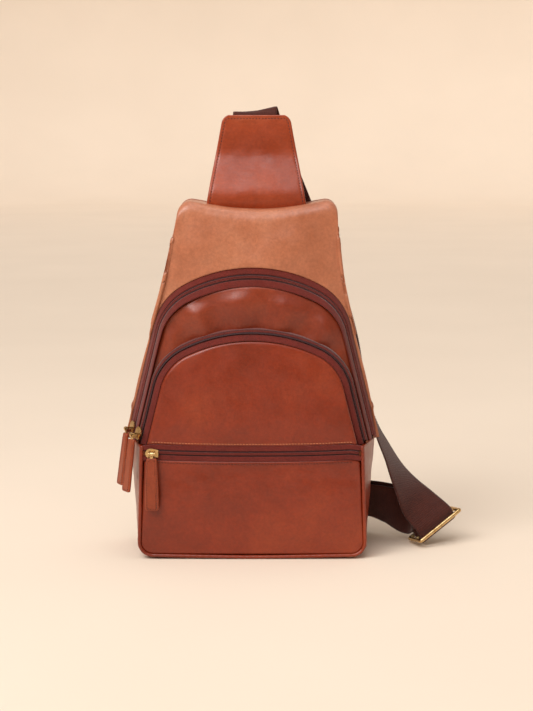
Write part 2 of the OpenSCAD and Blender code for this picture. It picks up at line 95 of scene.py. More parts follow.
# ---- materials -----------------------------------------------------------------------------------
class Nodes:
    """A new material and short calls that add nodes to it."""

    def __init__(self, name, **shader):
        self.material = bpy.data.materials.new(name)
        self.material.use_nodes = True
        self.tree = self.material.node_tree
        self.shader = self.tree.nodes["Principled BSDF"]
        for key, value in shader.items():
            self.shader.inputs[key.replace("_", " ")].default_value = value
        self.place = self.add("ShaderNodeTexCoord").outputs["Object"]

    def add(self, kind, **sockets):
        node = self.tree.nodes.new(kind)
        for key, value in sockets.items():
            node.inputs[key.replace("_", " ")].default_value = value
        return node

    def link(self, out, node, socket):
        self.tree.links.new(out, node.inputs[socket])

    def noise(self, scale, detail=3.0, roughness=0.5, stretch=None):
        node = self.add("ShaderNodeTexNoise", Scale=scale, Detail=detail, Roughness=roughness)
        place = self.place
        if stretch:
            mapping = self.add("ShaderNodeMapping")
            mapping.inputs["Scale"].default_value = stretch
            self.link(place, mapping, "Vector")
            place = mapping.outputs[0]
        self.link(place, node, "Vector")
        return node.outputs["Fac"]

    def cells(self, scale):
        node = self.add("ShaderNodeTexVoronoi", Scale=scale)
        self.link(self.place, node, "Vector")
        return node.outputs["Distance"]

    def ramp(self, value, stops):
        node = self.add("ShaderNodeValToRGB")
        bars = node.color_ramp.elements
        while len(bars) < len(stops):
            bars.new(0.5)
        for bar, (at, colour) in zip(bars, stops):
            bar.position = at
            bar.color = colour if len(colour) == 4 else (*colour, 1)
        self.link(value, node, "Fac")
        return node.outputs["Color"]

    def mix(self, a, b, factor, mode="MULTIPLY"):
        node = self.add("ShaderNodeMix")
        node.data_type = "RGBA"
        node.blend_type = mode
        node.inputs["Factor"].default_value = factor
        self.tree.links.new(a, node.inputs[6])
        self.tree.links.new(b, node.inputs[7])
        return node.outputs[2]

    def grey(self, value, low, high, span=(0.3, 0.7)):
        return self.ramp(value, [(span[0], (low,) * 3), (span[1], (high,) * 3)])

    def bump(self, layers):
        """Chains bump nodes; layers are (height, strength, distance in mm)."""
        last = None
        for height, strength, distance in layers:
            node = self.add("ShaderNodeBump", Strength=strength, Distance=distance * MM)
            self.link(height, node, "Height")
            if last:
                self.link(last, node, "Normal")
            last = node.outputs["Normal"]
        self.link(last, self.shader, "Normal")


def leather(name, dark, middle, light, gloss=0.34):
    """Waxed pull-up leather: cloudy colour, fine pebbled grain and short creases."""
    n = Nodes(name, Coat_Weight=0.2, Coat_Roughness=0.28, Specular_IOR_Level=0.4)
    cloud = n.ramp(n.noise(15, 4, 0.55), [(0.16, dark), (0.5, middle), (0.84, light)])
    fleck = n.grey(n.noise(420, 3, 0.6), 0.84, 1.06)
    wear = n.grey(n.noise(95, 6, 0.7), 0.9, 1.05)
    n.link(n.mix(n.mix(cloud, fleck, 1), wear, 1), n.shader, "Base Color")
    n.link(n.grey(n.noise(60, 4), gloss - 0.05, gloss + 0.12), n.shader, "Roughness")
    creases = n.noise(130, 5, 0.65, (1, 1, 2.6))
    n.bump([(creases, 0.16, 1.2), (n.cells(1150), 0.14, 0.25), (n.noise(2600, 2), 0.1, 0.12)])
    return n.material


def cloth(name, dark, light, thread, rough=0.85, strength=0.4):
    """Woven fabric: thread-sized weave, slubs and a soft sheen."""
    n = Nodes(name, Sheen_Weight=0.25, Sheen_Roughness=0.5, Specular_IOR_Level=0.25)
    colour = n.ramp(n.noise(1000 / thread, 2, 0.6), [(0.3, dark), (0.7, light)])
    n.link(n.mix(colour, n.grey(n.noise(70, 4), 0.86, 1.06), 1), n.shader, "Base Color")
    n.link(n.grey(n.noise(240, 2), rough - 0.08, rough + 0.06), n.shader, "Roughness")
    n.bump([(n.noise(1000 / thread, 2, 0.5), strength, 0.35), (n.cells(1300), 0.3, 0.2)])
    return n.material


def metal(name, dark, light):
    """Light gold plating: brushed finely, duller in patches."""
    n = Nodes(name, Metallic=1.0)
    n.link(n.ramp(n.noise(260, 4, 0.6), [(0.3, dark), (0.7, light)]), n.shader, "Base Color")
    n.link(n.grey(n.noise(500, 3), 0.2, 0.36), n.shader, "Roughness")
    n.bump([(n.noise(1800, 3, 0.6, (1, 1, 0.15)), 0.12, 0.08)])
    return n.material


def plain(name, dark, light, rough, scale):
    """An even surface: faintly cloudy in colour, roughness and relief."""
    n = Nodes(name)
    n.link(n.ramp(n.noise(scale, 3), [(0.3, dark), (0.7, light)]), n.shader, "Base Color")
    n.link(n.grey(n.noise(scale * 2, 2), rough - 0.06, rough + 0.06), n.shader, "Roughness")
    n.bump([(n.noise(scale * 4, 2), 0.2, 0.2)])
    return n.material


TAN = leather("leather_tan", srgb(104, 31, 8), srgb(132, 43, 14), srgb(152, 60, 25))
# A lighter, greyer copy of the tan leather for the yoke and the rear sides: painted highlight, standing in
# for the sheen on their upward-facing lobes.
YOKE_PAINTED_HIGHLIGHT = leather("leather_yoke_painted_highlight", srgb(152, 84, 54), srgb(180, 110, 78), srgb(200, 136, 102))
DEEP = leather("leather_deep", srgb(98, 31, 11), srgb(128, 46, 21), srgb(152, 66, 35))
EDGE = leather("leather_edge", srgb(114, 40, 14), srgb(142, 56, 22), srgb(164, 76, 36), 0.42)
TAB = leather("leather_tab", srgb(128, 44, 14), srgb(154, 60, 24), srgb(172, 80, 40))
TAPE = cloth("zip_tape", srgb(84, 24, 17), srgb(118, 38, 28), 0.55)
GROOVE = plain("zip_groove", srgb(44, 16, 20), srgb(58, 24, 26), 0.8, 700)
WEB = cloth("webbing", srgb(49, 17, 11), srgb(85, 37, 26), 0.5, 0.88, 0.5)
THREAD = cloth("thread", srgb(188, 104, 64), srgb(222, 142, 96), 0.4)
DARK_THREAD = cloth("dark_thread", srgb(70, 24, 16), srgb(104, 42, 28), 0.4)
BRASS = metal("brass", srgb(176, 140, 86), srgb(226, 196, 146))
DULL = metal("dull_brass", srgb(84, 46, 34), srgb(118, 70, 50))
LINING = cloth("lining", srgb(74, 48, 38), srgb(104, 72, 58), 0.6)
FOAM = plain("foam", srgb(196, 188, 170), srgb(220, 212, 196), 0.9, 900)

# ---- mesh helpers --------------------------------------------------------------------------------
def piece(name, verts, faces, material, slot, body="bag", stands_for=(), modifiers=()):
    """A smooth mesh from points in millimetres, riding on a CAD body."""
    mesh = bpy.data.meshes.new(name)
    mesh.from_pydata((np.asarray(verts, float) * MM).tolist(), [], [tuple(map(int, f)) for f in faces])
    mesh.materials.append(material)
    if not modifiers:
        solid = bmesh.new()
        solid.from_mesh(mesh)
        bmesh.ops.recalc_face_normals(solid, faces=solid.faces)
        solid.to_mesh(mesh)
        solid.free()
    mesh.shade_smooth()
    made = bpy.data.objects.new(name, mesh)
    bpy.context.scene.collection.objects.link(made)
    for kind, settings in modifiers:
        modifier = made.modifiers.new(kind.lower(), kind)
        for key, value in settings.items():
            setattr(modifier, key, value)
    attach(made, body)
    if stands_for:
        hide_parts(*stands_for)
    return made


LEATHER_T = 1.5


def thick():
    """Gives a sheet its leather's thickness, behind the face that shows."""
    return [("SOLIDIFY", {"thickness": LEATHER_T * MM, "offset": -1})]


def grid_faces(rows, columns, ring=False, flip=False):
    """Quads over rows of columns points each; ring joins each row's last point to its first."""
    faces = []
    for i in range(rows - 1):
        for j in range(columns if ring else columns - 1):
            k = (j + 1) % columns
            quad = (i * columns + j, i * columns + k, (i + 1) * columns + k, (i + 1) * columns + j)
            faces.append(quad[::-1] if flip else quad)
    return faces


def ring_sweep(name, rings, material, slot, **options):
    """A closed solid through equal rings of points, capped at both ends."""
    rings = np.asarray(rings, float)
    n, m, _ = rings.shape
    faces = grid_faces(n, m, ring=True)
    faces += [tuple(range(m))[::-1], tuple(range((n - 1) * m, n * m))]
    return piece(name, rings.reshape(-1, 3), faces, material, slot, **options)


def fbm(x, y, z, size):
    """Smooth noise about size millimetres from one hump to the next."""
    return noise.fractal(Vector((x / size, y / size, z / size)), 1.0, 2.0, 3)


# ---- stitches ------------------------------------------------------------------------------------
def stitches(name, line, outward, material, slot, body="bag", pitch=2.6, long=1.9, radius=0.32, sink=0.1):
    """Thread showing along a line, one short capsule to each stitch. outward is one way, or one a point."""
    line = np.asarray(line, float)
    out = np.broadcast_to(np.asarray(outward, float), line.shape)
    run = np.r_[0, np.cumsum(np.linalg.norm(np.diff(line, axis=0), axis=1))]
    verts, faces = [], []
    for s in np.arange(pitch / 2, run[-1], pitch):
        middle = np.array([np.interp(s, run, line[:, k]) for k in range(3)])
        ahead = np.array([np.interp(s + 0.4, run, line[:, k]) for k in range(3)])
        behind = np.array([np.interp(s - 0.4, run, line[:, k]) for k in range(3)])
        t = unit(ahead - behind)
        n = np.array([np.interp(s, run, out[:, k]) for k in range(3)])
        n = unit(n - t * (n @ t))
        b = np.cross(t, n)
        first = len(verts)
        for along, width in ((-1, 0.35), (-0.6, 0.9), (0.6, 0.9), (1, 0.35)):
            lift = radius * (1 if width > 0.5 else -0.3) - sink
            for q in range(6):
                a = math.tau * q / 6
                verts.append(middle + t * along * long / 2 + n * (lift + radius * width * math.sin(a) * 0.8)
                             + b * radius * width * math.cos(a))
        faces += [tuple(first + v for v in f) for f in grid_faces(4, 6, ring=True)]
        faces += [tuple(range(first, first + 6))[::-1], tuple(range(first + 18, first + 24))]
    return piece(name, verts, faces, material, slot, body=body)


# ---- strap: the two stretches of webbing ---------------------------------------------------------
ADJ_C = np.array([162, 18, 15.5])
ADJ_B = unit([0.77, 0.35, 0.53])
ADJ_T = unit(np.cross([-0.3, 0.95, -0.1], ADJ_B))
ADJ_D = np.cross(ADJ_B, ADJ_T)
RUN_R, RUN_SAG, LOOP_R = 5.8, 0.2, 3.1
RING_X, RING_Y, RING_Z = -82, 46, 36
LAY_GAP = (3.6, 4.2, 3.4, 2.6, 2, 2, 2, 2)
LAY_ROUTE = [(ADJ_C + ADJ_D * 8 - ADJ_T * 9.5, ADJ_B), ((142, 35, 22), (0.56, -0.08, 0.8)),
             ((122, 44.5, 29), (0.25, -0.42, 0.86)), ((98, 52, 32.5), (0, -0.5, 0.86)),
             ((60, 53, 32), (0, -0.3, 0.95)), ((10, 52, 29), (0, -0.2, 0.98)),
             ((-40, 50, 32), (0, -0.05, 1)), ((-66, 47, RING_Z), (0, 0, 1))]


def lay(side):
    """One of the two layers between the adjuster and the anchor ring."""
    made = []
    for i, (at, across) in enumerate(LAY_ROUTE):
        after = np.asarray(LAY_ROUTE[min(i + 1, len(LAY_ROUTE) - 1)][0], float)
        before = np.asarray(LAY_ROUTE[max(i - 1, 0)][0], float)
        off = unit(np.cross(unit(after - before), across)) * side * LAY_GAP[i]
        made.append((np.asarray(at, float) + off, across))
    return made


def turn_round(radius, sag, steps):
    """The half turn of the webbing round the adjuster's bar."""
    angles = [math.pi * i / steps for i in range(steps + 1)]
    return [(ADJ_C - ADJ_D * radius * math.cos(a) + ADJ_T * (radius * math.sin(a) + sag), ADJ_B)
            for a in angles]


WEB_ROUTE = [
    ((2, 30.95, 346), (1, 0, 0)), ((2, 31.6, 359), (1, 0, 0)), ((2, 32.4, 374), (1, 0, 0.02)),
    ((2.3, 33.8, 378.3), (0.99, 0, 0.08)), ((3, 37.5, 379.6), (0.99, 0, 0.15)),
    ((4.5, 41.2, 375.5), (0.97, 0, 0.22)), ((9, 43.4, 361), (0.94, 0, 0.33)),
    ((22, 45, 325), (0.93, 0, 0.36)), ((40, 46, 280), (0.93, 0, 0.37)), ((60, 48, 228), (0.92, 0.1, 0.37)),
    ((80, 56, 176), (0.75, 0.6, 0.28)), ((95, 60, 138), (0.35, 0.92, 0.15)),
    ((107, 60, 109), (0.05, 0.99, 0.1)), ((116, 50, 88), (0.12, 0.99, 0.1)),
    ((127, 38, 67), (0.3, 0.95, 0.02)), ((138, 27, 49), (0.58, 0.8, 0.12)),
    ((149, 20, 33), (0.72, 0.52, 0.44)),
    (ADJ_C - ADJ_D * RUN_R - ADJ_T * 7, ADJ_B), *turn_round(RUN_R, RUN_SAG, 5), *lay(1),
    ((RING_X + 1.2, RING_Y + 3.6, RING_Z), (0, 0, 1))]
RETURN_ROUTE = [
    (ADJ_C - ADJ_D * LOOP_R - ADJ_T * 6, ADJ_B), *turn_round(LOOP_R, 0, 6), *lay(-1),
    ((RING_X, RING_Y - 3.6, RING_Z), (0, 0, 1)), ((RING_X - 3.3, RING_Y - 1.5, RING_Z), (0, 0, 1)),
    ((RING_X - 3.3, RING_Y + 1.5, RING_Z), (0, 0, 1)), ((RING_X, RING_Y + 3.6, RING_Z), (0, 0, 1))]


def catmull(a, b, c, d, t):
    """A place between b and c on the smooth curve through all four."""
    return 0.5 * (2 * b + (c - a) * t + (2 * a - 5 * b + 4 * c - d) * t * t
                  + (3 * b - a - 3 * c + d) * t ** 3)


def web_line(route, step):
    """Smooth places and directions across along a route, about step apart."""
    points = np.array([np.r_[p, w] for p, w in route], float)
    fine = []
    for i in range(len(points) - 1):
        four = [points[max(i - 1, 0)], points[i], points[i + 1], points[min(i + 2, len(points) - 1)]]
        fine += [catmull(*four, k / 24) for k in range(24)]
    fine = np.array(fine + [points[-1]])
    run = np.r_[0, np.cumsum(np.linalg.norm(np.diff(fine[:, :3], axis=0), axis=1))]
    at = np.linspace(0, run[-1], int(run[-1] / step) + 1)
    return np.array([np.interp(at, run, fine[:, k]) for k in range(6)]).T, at


RIB = 1.9


def webbing(name, route, node):
    """Flat webbing with cross ribs, three faint rows along it and rolled edges."""
    line, run = web_line(route, RIB / 4)
    across = np.linspace(-1, 1, 25)
    rings = []
    for i, row in enumerate(line):
        t = unit(line[min(i + 1, len(line) - 1), :3] - line[max(i - 1, 0), :3])
        w = unit(row[3:] - t * (row[3:] @ t))
        n = np.cross(t, w)
        top, low = [], []
        for j, v in enumerate(across):
            rib = 0.2 * math.sin(math.tau * run[i] / RIB + (math.pi if j % 2 else 0) * 0.25)
            half = (WEB_T / 2 - 0.22) * min(1, 3.2 * (1.02 - abs(v)) ** 0.5)
            half += 0.05 * math.cos(12 * math.pi * v)
            half = max(half, 0.3)
            top.append(row[:3] + w * v * WEB_W / 2 + n * (half + rib))
            low.append(row[:3] + w * v * WEB_W / 2 - n * (half - rib * 0.3))
        rings.append(low + top[::-1])
    made = ring_sweep(name, rings, WEB, "webbing", stands_for=[node])
    path = (line[::8, :3].tolist() + [line[-1, :3].tolist()])
    path = [[c * MM for c in p] for p in path]
    return made


webbing("strap_webbing", WEB_ROUTE, "strap_web")
webbing("strap_webbing_return", RETURN_ROUTE, "strap_return")

# ---- outlines of the body ------------------------------------------------------------------------
def arc(centre, radius, a0, a1, n):
    """Points on a circle from angle a0 to a1, in degrees."""
    angles = [math.radians(a0 + (a1 - a0) * i / n) for i in range(n + 1)]
    return [(centre[0] + radius * math.cos(a), centre[1] + radius * math.sin(a)) for a in angles]


def bezier(p, n):
    """n points on a cubic curve, without its first."""
    p = np.asarray(p, float)
    made = []
    for i in range(1, n + 1):
        t = i / n
        s = 1 - t
        made.append(tuple(s ** 3 * p[0] + 3 * t * s ** 2 * p[1] + 3 * t * t * s * p[2] + t ** 3 * p[3]))
    return made


EAR_X = SHOULDER_W / 2 - EAR_R
BODY_SIDE = ([(WAIST_W / 2, SEAM_Z)]
             + bezier([(107, 97), (106, 150), (SHOULDER_W / 2 + 12, 200), (SHOULDER_W / 2 + 3.5, 262)], 24)
             + arc((EAR_X, BODY_H - EAR_R), EAR_R, 0, 105, 12)
             + bezier([(EAR_X - 6, BODY_H - 0.5), (40, BODY_H - 4), (20, BODY_H - 7), (0, BODY_H - 7)], 12))
BODY_FOOT = arc((BASE_W / 2 - CORNER_R, CORNER_R), CORNER_R, -90, 0, 10)
FRONT_FOOT = arc((FRONT_LOW_W / 2 - CORNER_R, CORNER_R), CORNER_R, -90, 0, 10)


def sway(points):
    """Leans an outline's upper part a little to the right, as the soft body stands."""
    return [(x + TOP_SWAY * (z / BODY_H) ** 6, z) for x, z in points]


def mirrored(points):
    """The other half of an outline, in the order that carries on round it."""
    return [(-x, z) for x, z in points][::-1]


def evenly(points, step=None, count=None):
    """The same path with points evenly spaced along it."""
    points = np.asarray(points, float)
    run = np.r_[0, np.cumsum(np.linalg.norm(np.diff(points, axis=0), axis=1))]
    count = count or int(run[-1] / step) + 1
    at = np.linspace(0, run[-1], count)
    return np.array([np.interp(at, run, points[:, k]) for k in range(points.shape[1])]).T


# ---- arch zips -----------------------------------------------------------------------------------
def arch_line(arch, step, low=SEAM_Z + 1.2, off=0.0):
    """Rows of x, z and the way outward, from the left foot over the crown to the right foot."""
    high, crown_r, half, shoulder_r = arch[:4]
    crown_z = high - crown_r
    reach = crown_r - shoulder_r
    shoulder = (reach * math.sin(half), crown_z + reach * math.cos(half))
    right = []
    for i in range(200):
        b = half * i / 200
        right.append(((crown_r + off) * math.sin(b), crown_z + (crown_r + off) * math.cos(b), b))
    for i in range(200):
        b = half + (LEG_A - half) * i / 200
        right.append((shoulder[0] + (shoulder_r + off) * math.sin(b),
                      shoulder[1] + (shoulder_r + off) * math.cos(b), b))
    top = (shoulder[0] + (shoulder_r + off) * math.sin(LEG_A),
           shoulder[1] + (shoulder_r + off) * math.cos(LEG_A))
    for i in range(101):
        z = top[1] + (low - top[1]) * i / 100
        right.append((top[0] + (top[1] - z) * math.tan(SPLAY), z, LEG_A))
    both = [(-x, z, -b) for x, z, b in right[:0:-1]] + right
    rows = evenly(both, step=step)
    return np.c_[rows[:, :2], np.sin(rows[:, 2]), np.cos(rows[:, 2])]


def depth_at(arch, z):
    """How far back an arch zip lies at a height."""
    return arch[4] + (arch[5] - arch[4]) * (z - SEAM_Z) / (arch[0] - SEAM_Z)


def arch_frame(arch, row, low, top):
    """Place, direction across and direction outwards of the zip's surface there."""
    x, z, ox, oz = row
    s = min(1, max(0, (arch[0] - z) / (arch[0] - 180)))
    t = math.radians(top + (low - top) * s * (2 - s))
    place = np.array([x, depth_at(arch, z), z])
    return (place, np.array([math.cos(t) * ox, math.sin(t), math.cos(t) * oz]),
            np.array([math.sin(t) * ox, -math.cos(t), math.sin(t) * oz]))


TAPE_RIB, TAPE_STEP = 1.25, 0.32
TAPE_EDGE_ROUND = 0.25


def arch_strip(name, arch, turn, span, low_n, top_n, rib, material, slot, node=(),
               low=SEAM_Z + 1.2, across=7):
    """A ribbed ribbon on an arch, between two places across the zip."""
    rings = []
    for i, row in enumerate(arch_line(arch, TAPE_STEP, low)):
        place, w, n = arch_frame(arch, row, *turn)
        lift = rib * math.sin(math.tau * i * TAPE_STEP / TAPE_RIB)
        places = np.linspace(span[0], span[1], across)
        edge = [TAPE_EDGE_ROUND if j in (0, across - 1) else 0 for j in range(across)]
        under = [place + w * v + n * low_n for v in places]
        over = [place + w * v + n * (top_n + lift - e) for v, e in zip(places, edge)]
        rings.append(over + under[::-1])
    return ring_sweep(name, rings, material, slot, stands_for=node)


OUTER_TURN = (62, 12)
INNER_TURN, INNER_FRONT_TURN, INNER_REAR_TURN = (55, 55), (20, 20), (84, 84)
for name, arch, turn, span in (("outer_zip_tape_rear", OUTER_ARCH, OUTER_TURN, (2.3, 8.5)),
                               ("outer_zip_tape_front", OUTER_ARCH, OUTER_TURN, (-8.5, -2.3)),
                               ("inner_zip_tape_rear", INNER_ARCH, INNER_REAR_TURN, (2.6, 12.5)),
                               ("inner_zip_tape_front", INNER_ARCH, INNER_FRONT_TURN, (-8.5, -2.8))):
    arch_strip(name, arch, turn, span, -0.35, 0.32, 0.11, TAPE, "zip_tape", [name.replace("_zip", "")])
for name, arch, turn in (("outer", OUTER_ARCH, OUTER_TURN), ("inner", INNER_ARCH, INNER_TURN)):
    arch_strip(name + "_zip_groove", arch, turn, (-2.7, 2.7), -0.6, -0.15, 0, GROOVE, "zip_coil",
               [name + "_coil"], SEAM_Z + 3.5, 5)
    for side, word in ((-1, "front"), (1, "rear")):
        span = sorted((0.08 * side, 1.05 * side))
        arch_strip(f"{name}_zip_teeth_{word}", arch, turn, span, -0.3, 0.55, 0.13, TAPE, "zip_tape",
                   low=SEAM_Z + 3.5, across=5)


# ---- horizontal pocket zip -----------------------------------------------------------------------
def smile(x):
    """The pocket zip dips a little at its middle."""
    return -0.8 + 2.4 * min(1, abs(x) / 95) ** 2.4


def eased_smile(x):
    """The same dip, fading out over the zip's last stretch."""
    return smile(x) * min(1, max(0, ZIP_HALF - abs(x)) / 8)


def face_bow(x):
    """The front face draws back a little towards its sides."""
    return 1.2 * min(1, abs(x) / 95) ** 3


def front_strip(name, span, low_n, top_n, rib, material, slot, node=(), across=7, half=ZIP_HALF):
    """A ribbed ribbon along the pocket zip, between two heights from its middle."""
    rings = []
    for i, x in enumerate(np.arange(-half, half, TAPE_STEP)):
        lift = rib * math.sin(math.tau * i * TAPE_STEP / TAPE_RIB)
        places = np.linspace(span[0], span[1], across) + FRONT_ZIP_Z + eased_smile(x)
        y = -FRONT_D + face_bow(x) * 0.3
        under = [(x, y - low_n, z) for z in places]
        over = [(x, y - top_n - lift, z) for z in places]
        rings.append(under + over[::-1])
    return ring_sweep(name, rings, material, slot, stands_for=node)


TAPE_END = 94
for word, span in (("upper", (2.3, 6.6)), ("lower", (-6.6, -2.3))):
    front_strip("pocket_zip_tape_" + word, span, -0.35, 0.32, 0.11, TAPE, "zip_tape",
                ["front_tape_" + word], half=TAPE_END)
front_strip("pocket_zip_groove", (-2.7, 2.7), -0.6, -0.15, 0, GROOVE, "zip_coil", ["front_coil"], 5)
for word, span in (("upper", (0.08, 1.05)), ("lower", (-1.05, -0.08))):
    front_strip("pocket_zip_teeth_" + word, span, -0.3, 0.55, 0.13, TAPE, "zip_tape", (), 5)


# ---- leather panels ------------------------------------------------------------------------------
def distances(points, outline):
    """Each point's distance from a closed outline."""
    a = outline
    d = np.roll(outline, -1, axis=0) - a
    best = np.full(len(points), 1e9)
    for p, v in zip(a, d):
        t = np.clip(((points - p) @ v) / (v @ v), 0, 1)
        best = np.minimum(best, np.linalg.norm(points - p - t[:, None] * v, axis=1))
    return best


EDGE_ROLL_R = 2.2


def panel(name, outline, place, material, slot, node, step=2.2, rim=4, back=False):
    """A leather sheet inside an outline drawn as (x, z), rolled at its edge and turned back by rim.

    place(x, z, d) gives the sheet's depth, with d the distance from the edge."""
    outline = evenly(list(outline) + [outline[0]], step=step)[:-1]
    area = np.sum(outline[:, 0] * np.roll(outline[:, 1], -1) - np.roll(outline[:, 0], -1) * outline[:, 1])
    if area < 0:
        outline = outline[::-1]
    tangent = np.roll(outline, -1, axis=0) - np.roll(outline, 1, axis=0)
    inward = np.c_[-tangent[:, 1], tangent[:, 0]] / np.linalg.norm(tangent, axis=1)[:, None]
    extra = []
    for d in (0.35, 0.9, 1.6, 2.6, 4):
        loop = outline + inward * d
        extra.append(loop[distances(loop, outline) > d * 0.93])
    low, high = outline.min(axis=0), outline.max(axis=0)
    xs, zs = np.meshgrid(np.arange(low[0], high[0], step), np.arange(low[1], high[1], step))
    xs[::2] += step / 2
    grid = np.c_[xs.ravel(), zs.ravel()]
    grid = grid[distances(grid, outline) > 5]
    flat = np.r_[outline, *extra, grid]
    loop = list(range(len(outline)))
    found = delaunay_2d_cdt([Vector(p) for p in flat.tolist()], [], [loop], 1, 1e-4)
    points = np.array([tuple(p) for p in found[0]])
    faces = [tuple(f) for f in found[2]]
    away = distances(points, outline)
    sign = -1 if back else 1
    verts = []
    for (x, z), d in zip(points, away):
        roll = EDGE_ROLL_R - math.sqrt(max(0, EDGE_ROLL_R ** 2 - max(0, EDGE_ROLL_R - d) ** 2))
        verts.append((x, place(x, z, d) + sign * roll, z))
    first = len(verts)
    found_loop = [int(np.argmin(np.abs(points - p).sum(axis=1))) for p in outline]
    for k in found_loop:
        x, y, z = verts[k]
        verts.append((x, y + sign * rim, z))
    n = len(found_loop)
    for i in range(n):
        j = (i + 1) % n
        faces.append((found_loop[i], first + i, first + j, found_loop[j]))
    if back:
        faces = [f[::-1] for f in faces]
    return piece(name, verts, faces, material, slot, stands_for=[node], modifiers=thick())


def closed_arch(arch, off, low):
    """An arch's line moved outward by off, as (x, z) down to the height low."""
    rows = arch_line(arch, 1.5, low, off)
    return [tuple(r[:2]) for r in rows]


def grow(d, reach):
    """0 at the edge, 1 once further in than reach, smoothly."""
    t = min(1, max(0, d / reach))
    return t * t * (3 - 2 * t)


def middle_place(x, z, d):
    """Slack leather between the two arches, with soft folds fanning out under the crown."""
    y = -12.5 - 7.5 * max(0, z - SEAM_Z) / 134.5
    angle = math.atan2(x, z - 110)
    folds = 1.7 * math.sin(angle * 17 + fbm(x, 0, z, 40)) * grow(d, 12) * grow(z - 120, 60)
    return y - 3.2 * grow(d, 14) * grow(z - 96, 20) + folds + 0.7 * fbm(x, 7, z, 24) * grow(d, 5)


def upper_place(x, z, d):
    """The front panel above the pocket zip: slightly crowned, drawing back to its sides."""
    y = -38.6 + 4.6 * (z - 97.2) / 93.8
    swell = 1.6 * grow(d, 26)
    dent = 0.55 * fbm(x, 3, z, 34) + 0.22 * fbm(x * 1.6, 5, z, 11)
    return y - swell + face_bow(x) + dent * grow(d, 5)


def pocket_place(x, z, d):
    """The pocket's front, with faint folds towards its two sides."""
    y = -38.6 - 1.1 * grow(d, 30) + face_bow(x)
    fold = 0.5 * math.sin(z / 9 + fbm(x, 0, z, 30) * 2) * grow(abs(x) - 45, 40)
    return y + (0.5 * fbm(x, 9, z, 30) + 0.2 * fbm(x, 2, z * 1.7, 10) + fold) * grow(d, 6)


def back_place(x, z, d):
    """The back, crowned a little by the foam behind its leather."""
    return 33.6 + 3.4 * grow(d, 20) + 0.35 * fbm(x, 4, z, 30) * grow(d, 6)


UPPER_FOOT_Z, POCKET_TOP_Z, PANEL_TUCK, POCKET_HALF_W = 97, 85, -8.2, 92.6
upper_outline = closed_arch(INNER_ARCH, PANEL_TUCK, UPPER_FOOT_Z)
upper_outline += [(x, UPPER_FOOT_Z + eased_smile(x)) for x in np.linspace(87, -87, 60)]
panel("front_upper_leather", upper_outline, upper_place, TAN, "leather_tan", "front_upper_panel", rim=3.4)
middle_outline = []
for x, z, ox, oz in arch_line(OUTER_ARCH, 1.5, SEAM_Z):
    tuck = -3.5 - 4.2 * grow(z - 185, 50)
    middle_outline.append((x + ox * tuck, z + oz * tuck))
panel("middle_leather", middle_outline, middle_place, DEEP, "leather_dark", "middle_panel", rim=2)
pocket_half = arc((FRONT_LOW_W / 2 - CORNER_R, CORNER_R), CORNER_R - 2.2, -90, 0, 10)
pocket_top = [(x, POCKET_TOP_Z + smile(x) * min(1, (ZIP_HALF - abs(x)) / 8))
              for x in np.linspace(POCKET_HALF_W, -POCKET_HALF_W, 60)]
panel("front_pocket_leather", pocket_half + pocket_top + mirrored(pocket_half), pocket_place, TAN,
      "leather_tan", "front_pocket_panel", rim=2.4)
body_half = BODY_FOOT + BODY_SIDE
body_outline = sway(body_half + mirrored(body_half))
back = panel("back_leather", body_outline, back_place, TAN, "leather_tan", "back_panel",
             step=3, rim=2, back=True)


# ---- shells swept round the body -----------------------------------------------------------------
def softened(grid, noise_mm, calm, share=lambda z, column: 1.0):
    """A grid of points with soft wrinkles, and whether its faces must be turned to face outwards."""
    grid = np.asarray(grid, float)
    rows, columns, _ = grid.shape
    along = np.gradient(grid, axis=0)
    over = np.gradient(grid, axis=1)
    normal = np.cross(along, over)
    normal /= np.linalg.norm(normal, axis=2)[:, :, None] + 1e-9
    flip = np.mean(np.sum(normal * (grid - np.array([0, 0, 140])), axis=2)) > 0
    if not flip:
        normal = -normal
    for i in range(rows):
        for j in range(calm, columns - 1):
            p = grid[i, j]
            mask = min(1, (j - calm) / 4, (columns - 1 - j) / 3) * share(p[2], j)
            amount = noise_mm * fbm(*p, 26) + noise_mm * 0.35 * fbm(p[0] * 1.5, p[1], p[2] * 1.5, 9)
            if p[2] < 4:
                mask *= max(0, p[2] / 4)
            grid[i, j] = p + normal[i, j] * amount * mask
    return grid, flip


def shell(name, grid, flip, material, slot, node):
    """A leather sheet through a grid of points."""
    rows, columns, _ = grid.shape
    return piece(name, grid.reshape(-1, 3), grid_faces(rows, columns, flip=flip), material, slot,
                 stands_for=[node], modifiers=thick())


SIDE_PATH = evenly(BODY_SIDE, count=181)
SIDE_RUN = np.linspace(0, 1, 181)
ARCH_ROWS = arch_line(OUTER_ARCH, 0.5, SEAM_Z)
ARCH_HALF = ARCH_ROWS[len(ARCH_ROWS) // 2:][::-1]


